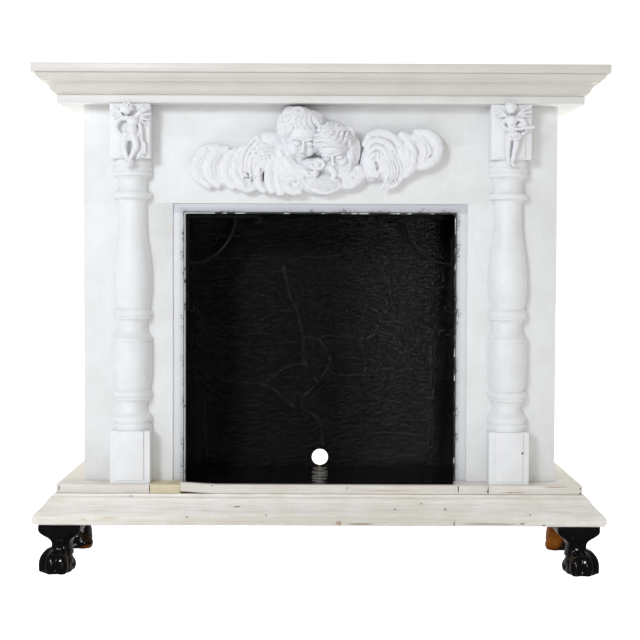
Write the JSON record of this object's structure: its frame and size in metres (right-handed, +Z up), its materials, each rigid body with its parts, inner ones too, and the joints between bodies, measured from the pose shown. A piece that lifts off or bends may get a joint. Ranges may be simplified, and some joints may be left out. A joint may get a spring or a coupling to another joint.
{
  "type": "fireplace mantel",
  "caption": "Free-standing fireplace mantel with moulded shelf, turned half columns, winged applique, open square firebox and claw feet.",
  "frame": {"origin": "on the floor, under the middle of the overall box", "axes": "+X to the right seen from the front, -Y out of the front, +Y to the wall, +Z up"},
  "size_m": [1.006, 0.288, 0.8946],
  "materials": {
    "cream_paint": "brushed cream-white satin paint on softwood",
    "white_paint": "brushed cool white satin paint on board",
    "worn_base_paint": "thin worn off-white paint on knotty softwood",
    "black_foot_paint": "black gloss paint on carved hardwood",
    "black_iron": "black painted bent flat bar",
    "screw_steel": "zinc plated",
    "painted_plaster": "matt white paint on cast plaster",
    "crinkled_lining": "crinkled sheet under black gloss paint",
    "black_gloss_paint": "black gloss paint on board",
    "bare_wood": "unpainted softwood and plywood"
  },
  "bodies": {
    "root": {"back_panel": "bare_wood", "back_rail": "bare_wood", "base_board": "bare_wood", "base_moulding_front": "worn_base_paint", "base_moulding_left": "worn_base_paint", "base_moulding_right": "worn_base_paint", "base_rail_back": "bare_wood", "base_rail_front": "bare_wood", "base_rail_left": "bare_wood", "base_rail_right": "bare_wood", "bracket_screws": "black_iron", "capital_block_left": "white_paint", "capital_block_right": "white_paint", "capital_panel_left": "white_paint", "capital_panel_right": "white_paint", "cherub_applique": "painted_plaster", "claw_foot_front_left": "black_foot_paint", "claw_foot_front_right": "black_foot_paint", "claw_foot_rear_left": "black_foot_paint", "claw_foot_rear_right": "black_foot_paint", "column_screws": "screw_steel", "cornice_front": "cream_paint", "cornice_left": "cream_paint", "cornice_right": "cream_paint", "firebox_lining": "crinkled_lining", "firebox_side_left": "black_gloss_paint", "firebox_side_right": "black_gloss_paint", "firebox_top": "black_gloss_paint", "foot_dowels": "screw_steel", "frieze_board": "white_paint", "half_column_left": "white_paint", "half_column_right": "white_paint", "hearth_board": "black_gloss_paint", "leg_board_left": "white_paint", "leg_board_right": "white_paint", "opening_slip": "white_paint", "plinth_block_left": "white_paint", "plinth_block_right": "white_paint", "plinth_panel_left": "white_paint", "plinth_panel_right": "white_paint", "putto_left": "painted_plaster", "putto_right": "painted_plaster", "scroll_bracket_left": "black_iron", "scroll_bracket_right": "black_iron", "shelf_board": "cream_paint", "shelf_cleat_left": "bare_wood", "shelf_cleat_right": "bare_wood", "shelf_screws": "screw_steel", "side_panel_left": "white_paint", "side_panel_right": "white_paint", "sill_strip": "worn_base_paint", "soffit_front": "cream_paint", "soffit_left": "cream_paint", "soffit_right": "cream_paint", "step_infill_left": "worn_base_paint", "step_infill_right": "worn_base_paint", "step_side_left": "worn_base_paint", "step_side_right": "worn_base_paint", "step_strip_left": "worn_base_paint", "step_strip_right": "worn_base_paint"}
  },
  "joints": []
}
